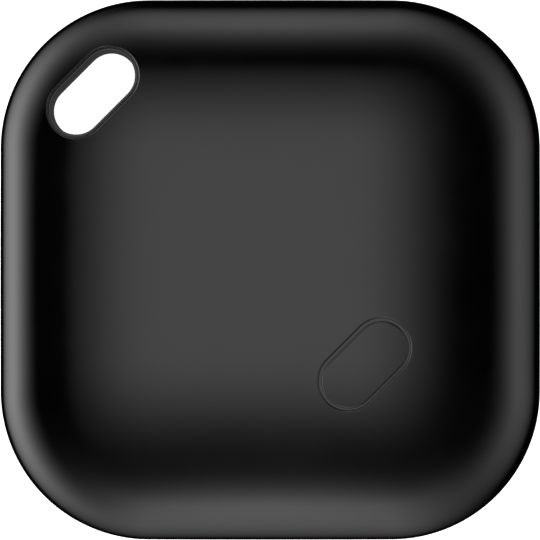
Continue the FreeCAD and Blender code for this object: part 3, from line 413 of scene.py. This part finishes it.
def buildRearShell():
    bm = startSkin("rear_shell", False, lambda face: onSeam(face, rearSkin["seamFace"]) or onLand(face))
    left = openLoops(bm)
    rings = seamRings(bm, parting, -1)
    zipRings(bm, rings[0], loopAt(left, 0, 0, parting))
    edge = np.array(squareLoop(0))
    _, outward = insetOf(edge)
    level = np.concatenate([outward, np.zeros((len(edge), 1))], 1)
    head = parting - frontSkin["seamRound"]
    for height in np.linspace(head, rearSkin["edge"], rearSkin["wallRings"])[1:-1]:
        rings.append(addRing(bm, edge, [height] * len(edge), level))
    for angle in np.linspace(0, math.pi / 2, rearSkin["edgeRings"]):
        loop = np.array(squareLoop(rearSkin["edge"] * (1 - math.cos(angle))))
        tilt = np.full((len(loop), 1), -math.sin(angle))
        normals = np.concatenate([outward * math.cos(angle), tilt], 1)
        rings.append(addRing(bm, loop, [rearSkin["edge"] * (1 - math.sin(angle))] * len(loop), normals))
    for upper, lower in zip(rings, rings[1:]):
        joinRings(bm, upper, lower)

    lip, edge = front["lip"], rearSkin["collarEdge"]
    wall = np.array(stadiumLoop(slotCentre, front["spine"], rearSkin["slotBore"]))
    inward = (wall - np.array(stadiumLoop(slotCentre, front["spine"], rearSkin["slotBore"] + lip))) / lip
    land = domeSurface(wall)[0] - rearSkin["collarSink"]
    boreRings = []

    def addBoreRing(away, heights, tilt):
        lean = np.full((len(wall), 1), math.sin(tilt))
        normals = np.concatenate([inward * math.cos(tilt), lean], 1)
        boreRings.append(addRing(bm, wall - inward * away, heights, normals))

    for angle in np.linspace(0, math.pi / 2, front["lipSteps"]):
        height = lip * (1 - math.cos(angle))
        addBoreRing(lip * (1 - math.sin(angle)), [height] * len(wall), angle - math.pi / 2)
    for share in np.linspace(0, 1, rearSkin["boreRings"])[1:]:
        addBoreRing(0, lip + (land - edge - lip) * share, 0)
    for angle in np.linspace(0, math.pi / 2, 4)[1:]:
        addBoreRing(edge * (1 - math.cos(angle)), land - edge * (1 - math.sin(angle)), angle)
    loop = stadiumLoop(slotCentre, front["spine"], rearSkin["collarRadius"])
    boreRings.append(addRing(bm, loop, domeSurface(np.array(loop))[0] - rearSkin["collarSink"]))
    for lower, upper in zip(boreRings, boreRings[1:]):
        joinRings(bm, lower, upper)
    zipRings(bm, boreRings[-1], loopAt(left, slotCentre.x, slotCentre.y, top))

    marks = []
    for turn in rearSkin["markTurns"]:
        angle = math.radians(turn)
        marks.append(Vector((math.cos(angle), math.sin(angle))) * rearSkin["markReach"])
    holes = [boreRings[0], loopAt(left, 0, 0, 0)]
    holes += [loopAt(left, mark.x, mark.y, 0) for mark in marks]

    def outside(points):
        gone = insetOf(points)[0] < rearSkin["edge"] + 0.0001 * mm
        gone |= stadiumReach(points, slotCentre, front["spine"]) < rearSkin["slotBore"] + lip
        gone |= np.linalg.norm(points, axis=1) < rearSkin["doorSeat"]
        for mark in marks:
            gone |= np.linalg.norm(points - np.array(mark), axis=1) < rearSkin["markRadius"]
        return gone

    fillInside(bm, rings[-1], holes, flatRear, outside, rearSkin["gridStep"])
    return finishSkin(bm, "rear_shell", "rearShell")


# button cap

capSkin = {"reach": 9.88 * mm, "radius": 1.983 * mm, "gridStep": 0.3 * mm}


def buildButtonCap():
    bm = startSkin("button_cap", True)
    left = openLoops(bm)
    centre = towardSlot * -capSkin["reach"]
    crown, side = roundLip(bm, centre, capSkin["radius"], False)
    zipRings(bm, side, loopAt(left, centre.x, centre.y, side[0].co.z))
    inner = capSkin["radius"] - front["lip"]

    def outside(points):
        return stadiumReach(points, centre, front["spine"]) > inner - 0.0001 * mm

    fillInside(bm, crown, [], frontSurface, outside, capSkin["gridStep"])
    return finishSkin(bm, "button_cap", "buttonCap")


# switch dome, copied from its part and carried with the housing


def buildSwitchDome():
    piece = bpy.data.objects.new("switchDome", frame["nodes"]["switch_dome"].data.copy())
    scene.collection.objects.link(piece)
    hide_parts("switch_dome")
    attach(piece, "housing")
    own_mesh(piece)
    return piece


frontShell = buildFrontShell()
rearShell = buildRearShell()
buttonCap = buildButtonCap()
for piece, body, slot in ((frontShell, "housing", "shell"), (rearShell, "housing", "shell"),
                          (buttonCap, "button", "button")):
    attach(piece, body)
switchDome = buildSwitchDome()


# finishes


def newFinish(name):
    material = bpy.data.materials.new(name)
    material.use_nodes = True
    tree = material.node_tree
    shader = next(node for node in tree.nodes if node.type == "BSDF_PRINCIPLED")
    place = tree.nodes.new("ShaderNodeTexCoord")
    return material, tree, shader, place.outputs["Object"]


def noise(tree, place, scale, detail=3, stretch=None):
    if stretch:
        mapping = tree.nodes.new("ShaderNodeMapping")
        mapping.inputs["Scale"].default_value = stretch
        tree.links.new(place, mapping.inputs["Vector"])
        place = mapping.outputs["Vector"]
    texture = tree.nodes.new("ShaderNodeTexNoise")
    texture.inputs["Scale"].default_value = scale
    texture.inputs["Detail"].default_value = detail
    tree.links.new(place, texture.inputs["Vector"])
    return texture.outputs["Fac"]


def cells(tree, place, scale, feature="F1"):
    texture = tree.nodes.new("ShaderNodeTexVoronoi")
    texture.feature = feature
    texture.inputs["Scale"].default_value = scale
    tree.links.new(place, texture.inputs["Vector"])
    return texture.outputs["Distance"]


def fade(tree, source, low, high, start=0.3, end=0.7):
    span = tree.nodes.new("ShaderNodeMapRange")
    span.interpolation_type = "SMOOTHSTEP"
    for socket, number in (("From Min", start), ("From Max", end), ("To Min", low), ("To Max", high)):
        span.inputs[socket].default_value = number
    tree.links.new(source, span.inputs["Value"])
    return span.outputs["Result"]


def blendColours(tree, source, dark, light, start=0.35, end=0.65):
    ramp = tree.nodes.new("ShaderNodeValToRGB")
    for stop, position, colour in zip(ramp.color_ramp.elements, (start, end), (dark, light)):
        stop.position = position
        stop.color = (*colour, 1)
    tree.links.new(source, ramp.inputs["Fac"])
    return ramp.outputs["Color"]


def relief(tree, shader, source, depth, strength=1):
    bump = tree.nodes.new("ShaderNodeBump")
    bump.inputs["Strength"].default_value = strength
    bump.inputs["Distance"].default_value = depth
    tree.links.new(source, bump.inputs["Height"])
    tree.links.new(bump.outputs["Normal"], shader.inputs["Normal"])


def moulded(name, look):
    # plastic, rubber or resin: cloudy colour, uneven gloss and the mould's fine grain
    material, tree, shader, place = newFinish(name)
    cloud = noise(tree, place, look["cloud"])
    tree.links.new(blendColours(tree, cloud, look["dark"], look["light"]), shader.inputs["Base Color"])
    tree.links.new(fade(tree, cloud, *look["rough"]), shader.inputs["Roughness"])
    relief(tree, shader, noise(tree, place, look["grain"], 2), look["depth"])
    return material


def rolled(name, look):
    # sheet metal with the fine lines of rolling or drawing
    material, tree, shader, place = newFinish(name)
    shader.inputs["Metallic"].default_value = 1
    lines = noise(tree, place, look["lines"], 4, look["stretch"])
    tree.links.new(blendColours(tree, lines, look["dark"], look["light"]), shader.inputs["Base Color"])
    tree.links.new(fade(tree, lines, *look["rough"]), shader.inputs["Roughness"])
    relief(tree, shader, lines, look["depth"])
    return material


def porous(name, look):
    # foam, felt, pressed powder and fired ceramic: grains or pores with their own relief
    material, tree, shader, place = newFinish(name)
    grains = cells(tree, place, look["cells"])
    spots = noise(tree, place, look["spots"], 5)
    tree.links.new(blendColours(tree, spots, look["dark"], look["light"]), shader.inputs["Base Color"])
    tree.links.new(fade(tree, grains, *look["rough"], 0, 0.8), shader.inputs["Roughness"])
    relief(tree, shader, grains, look["depth"])
    return material


maskLook = {"mask": (0.008, 0.06, 0.03), "trace": (0.014, 0.11, 0.05), "lineScale": 420, "weave": 2600,
            "rough": (0.28, 0.42), "depth": 0.01 * mm}


def solderMask(name, look):
    # green mask over glass weave, with the copper lines under it a shade lighter
    material, tree, shader, place = newFinish(name)
    lines = tree.nodes.new("ShaderNodeTexBrick")
    for socket, number in (("Scale", look["lineScale"]), ("Mortar Size", 0.06), ("Mortar Smooth", 0.3)):
        lines.inputs[socket].default_value = number
    lines.inputs["Color1"].default_value = (*look["mask"], 1)
    lines.inputs["Color2"].default_value = (*look["mask"], 1)
    lines.inputs["Mortar"].default_value = (*look["trace"], 1)
    tree.links.new(place, lines.inputs["Vector"])
    tree.links.new(lines.outputs["Color"], shader.inputs["Base Color"])
    weave = noise(tree, place, look["weave"], 2, (1, 0.3, 1))
    tree.links.new(fade(tree, weave, *look["rough"]), shader.inputs["Roughness"])
    relief(tree, shader, lines.outputs["Fac"], look["depth"])
    return material


black = {"cloud": 170, "grain": 7000, "depth": 0.0003 * mm}
mouldedLooks = {
    "shell": dict(black, dark=(0.0005, 0.0005, 0.0005), light=(0.0009, 0.0009, 0.001), rough=(0.075, 0.095)),
    "button": dict(black, dark=(0.0005, 0.0005, 0.0005), light=(0.0009, 0.0009, 0.001), rough=(0.075, 0.095)),
    "door": dict(black, dark=(0.0018, 0.0018, 0.0019), light=(0.0026, 0.0026, 0.0028), rough=(0.24, 0.3)),
    "silicone": {"dark": (0.02, 0.02, 0.022), "light": (0.035, 0.035, 0.038), "rough": (0.55, 0.7),
                 "cloud": 400, "grain": 5000, "depth": 0.002 * mm},
    "black_resin": {"dark": (0.012, 0.012, 0.013), "light": (0.02, 0.02, 0.021), "rough": (0.45, 0.6),
                    "cloud": 900, "grain": 9000, "depth": 0.002 * mm},
    "cell_plastic": {"dark": (0.32, 0.31, 0.28), "light": (0.42, 0.41, 0.38), "rough": (0.4, 0.5),
                     "cloud": 500, "grain": 4000, "depth": 0.001 * mm},
    "adhesive": {"dark": (0.5, 0.49, 0.42), "light": (0.62, 0.6, 0.54), "rough": (0.3, 0.5),
                 "cloud": 700, "grain": 2500, "depth": 0.004 * mm},
}
rolledLooks = {
    "gold_plate": {"dark": (0.72, 0.47, 0.14), "light": (0.86, 0.62, 0.25), "rough": (0.2, 0.32),
                   "lines": 900, "stretch": (1, 1, 1), "depth": 0.001 * mm},
    "spring_steel": {"dark": (0.42, 0.42, 0.41), "light": (0.56, 0.56, 0.54), "rough": (0.24, 0.38),
                     "lines": 500, "stretch": (1, 9, 9), "depth": 0.002 * mm},
    "cell_steel": {"dark": (0.52, 0.52, 0.5), "light": (0.62, 0.62, 0.6), "rough": (0.16, 0.28),
                   "lines": 420, "stretch": (1, 12, 1), "depth": 0.001 * mm},
    "lithium": {"dark": (0.4, 0.4, 0.41), "light": (0.58, 0.58, 0.6), "rough": (0.4, 0.6),
                "lines": 600, "stretch": (1, 2, 1), "depth": 0.004 * mm},
    "sounder_brass": {"dark": (0.6, 0.4, 0.13), "light": (0.74, 0.53, 0.2), "rough": (0.2, 0.34),
                      "lines": 380, "stretch": (1, 14, 1), "depth": 0.001 * mm},
}
porousLooks = {
    "foam": {"dark": (0.014, 0.014, 0.015), "light": (0.03, 0.03, 0.032), "rough": (0.8, 0.95),
             "cells": 5200, "spots": 900, "depth": 0.03 * mm},
    "cathode": {"dark": (0.015, 0.015, 0.015), "light": (0.04, 0.04, 0.038), "rough": (0.7, 0.9),
                "cells": 7000, "spots": 2400, "depth": 0.01 * mm},
    "felt": {"dark": (0.6, 0.6, 0.56), "light": (0.8, 0.8, 0.77), "rough": (0.8, 0.95),
             "cells": 6000, "spots": 3000, "depth": 0.02 * mm},
    "chip_ceramic": {"dark": (0.3, 0.2, 0.12), "light": (0.48, 0.36, 0.24), "rough": (0.35, 0.5),
                     "cells": 9000, "spots": 2600, "depth": 0.003 * mm},
    "sounder_ceramic": {"dark": (0.6, 0.59, 0.54), "light": (0.74, 0.73, 0.69), "rough": (0.35, 0.5),
                        "cells": 6500, "spots": 1800, "depth": 0.002 * mm},
}
finishes = {"board": solderMask("solderMask", maskLook)}
for maker, looks in ((moulded, mouldedLooks), (rolled, rolledLooks), (porous, porousLooks)):
    for slot, look in looks.items():
        finishes[slot] = maker(slot, look)


def dress(piece, slot):
    piece.data.materials.clear()
    piece.data.materials.append(finishes[slot])


for subpart in frame["record"]["subparts"]:
    dress(frame["nodes"][subpart["node"]], subpart["material_slot"])
dress(frontShell, "shell")
dress(rearShell, "shell")
dress(buttonCap, "button")
dress(switchDome, "spring_steel")
print("finishes:", len(finishes))


# studio: a soft box overhead, a glow all round, and a pale floor

overhead = {"level": 1.475, "reach": (0.248, 0.2515), "fade": (0.128, 0.13),
            "lean": (-0.0202, 0.0203), "height": 2.5}
glows = {     # heading and tilt in degrees; tilt is from straight up
    "left": {"heading": 180, "level": 5.13, "start": 27.1, "full": 66.1, "end": 131, "focus": 2.5},
    "top": {"heading": 90, "level": 1.75, "start": 15, "full": 41.5, "end": 93, "focus": 8},
    "right": {"heading": 0, "level": 1.52, "start": 18.2, "full": 43.9, "end": 107, "focus": 2.85},
    "bottom": {"heading": -90, "level": 2.3, "start": 9.5, "full": 32, "end": 142.5, "focus": 7.9},
}
surround = {"under": 0.05, "underStart": 150, "underFull": 172, "background": 1.0}


def maths(tree, operation, *values):
    node = tree.nodes.new("ShaderNodeMath")
    node.operation = operation
    for socket, value in zip(node.inputs, values):
        if isinstance(value, (int, float)):
            socket.default_value = value
        else:
            tree.links.new(value, socket)
    return node.outputs[0]


def hangSoftBox():
    height = overhead["height"]
    light = bpy.data.lights.new("softBox", "AREA")
    light.shape = "RECTANGLE"
    light.size, light.size_y = (2 * reach * height for reach in overhead["reach"])
    light.energy = 1
    light.use_nodes = True
    tree = light.node_tree
    glow = next(node for node in tree.nodes if node.type == "EMISSION")
    where = tree.nodes.new("ShaderNodeNewGeometry")
    split = tree.nodes.new("ShaderNodeSeparateXYZ")
    tree.links.new(where.outputs["Parametric"], split.inputs[0])
    share = math.pi * light.size * light.size_y * overhead["level"]
    for axis, reach, edge in zip("XY", overhead["reach"], overhead["fade"]):
        inward = maths(tree, "PINGPONG", split.outputs[axis], 0.5)
        share = maths(tree, "MULTIPLY", fade(tree, inward, 0, 1, 0, edge / reach / 2), share)
    tree.links.new(share, glow.inputs["Strength"])
    lamp = bpy.data.objects.new("softBox", light)
    lamp.location = (overhead["lean"][0] * height, overhead["lean"][1] * height, height)
    lamp.visible_camera = False
    scene.collection.objects.link(lamp)


def lightWorld():
    world = bpy.data.worlds.new("studio")
    world.use_nodes = True
    tree = world.node_tree
    glow = tree.nodes["Background"]
    place = tree.nodes.new("ShaderNodeTexCoord")
    split = tree.nodes.new("ShaderNodeSeparateXYZ")
    tree.links.new(place.outputs["Generated"], split.inputs[0])
    x, y, z = split.outputs
    tilt = maths(tree, "DEGREES", maths(tree, "ARCCOSINE", z))
    flat = maths(tree, "MAXIMUM", maths(tree, "SQRT", maths(tree, "SUBTRACT", 1, maths(tree, "MULTIPLY", z, z))),
                 0.001)
    total = fade(tree, tilt, 0, surround["under"], surround["underStart"], surround["underFull"])
    for side in glows.values():
        angle = math.radians(side["heading"])
        facing = maths(tree, "ADD", maths(tree, "MULTIPLY", x, math.cos(angle)),
                       maths(tree, "MULTIPLY", y, math.sin(angle)))
        facing = maths(tree, "MAXIMUM", maths(tree, "DIVIDE", facing, flat), 0)
        spread = maths(tree, "POWER", facing, side["focus"])
        rise = fade(tree, tilt, 0, side["level"], side["start"], side["full"])
        drop = fade(tree, tilt, 1, 0, side["full"], side["end"])
        total = maths(tree, "ADD", total, maths(tree, "MULTIPLY", maths(tree, "MULTIPLY", rise, drop), spread))
    tree.links.new(total, glow.inputs["Strength"])
    paper = tree.nodes.new("ShaderNodeBackground")
    paper.inputs["Strength"].default_value = surround["background"]
    glow.inputs["Color"].default_value = paper.inputs["Color"].default_value = (1, 1, 1, 1)
    seen = tree.nodes.new("ShaderNodeLightPath")
    either = tree.nodes.new("ShaderNodeMixShader")
    tree.links.new(seen.outputs["Is Camera Ray"], either.inputs[0])
    tree.links.new(glow.outputs[0], either.inputs[1])
    tree.links.new(paper.outputs[0], either.inputs[2])
    out = next(node for node in tree.nodes if node.type == "OUTPUT_WORLD")
    tree.links.new(either.outputs[0], out.inputs["Surface"])
    scene.world = world


floorSheet = {"reach": 3.0, "drop": 0.03 * mm, "dark": (0.84, 0.84, 0.84), "light": (0.88, 0.88, 0.88),
              "rough": (0.85, 0.95), "glow": 1.0, "mottle": 40}


def layFloor():
    reach = floorSheet["reach"]
    mesh = bpy.data.meshes.new("floor")
    mesh.from_pydata([(-reach, -reach, 0), (reach, -reach, 0), (reach, reach, 0), (-reach, reach, 0)], [],
                     [(0, 1, 2, 3)])
    floor = bpy.data.objects.new("floor", mesh)
    floor.location.z = -floorSheet["drop"]
    scene.collection.objects.link(floor)
    material, tree, shader, place = newFinish("floorPaper")
    mottle = noise(tree, place, floorSheet["mottle"])
    paper = blendColours(tree, mottle, floorSheet["dark"], floorSheet["light"])
    tree.links.new(paper, shader.inputs["Base Color"])
    tree.links.new(fade(tree, mottle, *floorSheet["rough"]), shader.inputs["Roughness"])
    shader.inputs["Emission Color"].default_value = (1, 1, 1, 1)
    shader.inputs["Emission Strength"].default_value = floorSheet["glow"]
    mesh.materials.append(material)
    floor.visible_glossy = False     # the gloss is left to the studio's glow


lens = {"distance": 420 * mm, "level": 3.7 * mm, "width": 40.1 * mm, "sensor": 36,
        "shift": (-0.0005, -0.0003)}


def setCamera():
    camera = bpy.data.cameras.new("camera")
    camera.sensor_width = lens["sensor"]
    camera.lens = lens["sensor"] * lens["distance"] / lens["width"]
    camera.shift_x, camera.shift_y = lens["shift"]
    camera.clip_start = 0.01
    eye = bpy.data.objects.new("camera", camera)
    eye.location.z = lens["level"] + lens["distance"]
    scene.collection.objects.link(eye)
    scene.camera = eye


hangSoftBox()
lightWorld()
layFloor()
setCamera()
scene.view_settings.view_transform = "Standard"
print("studio and camera set")
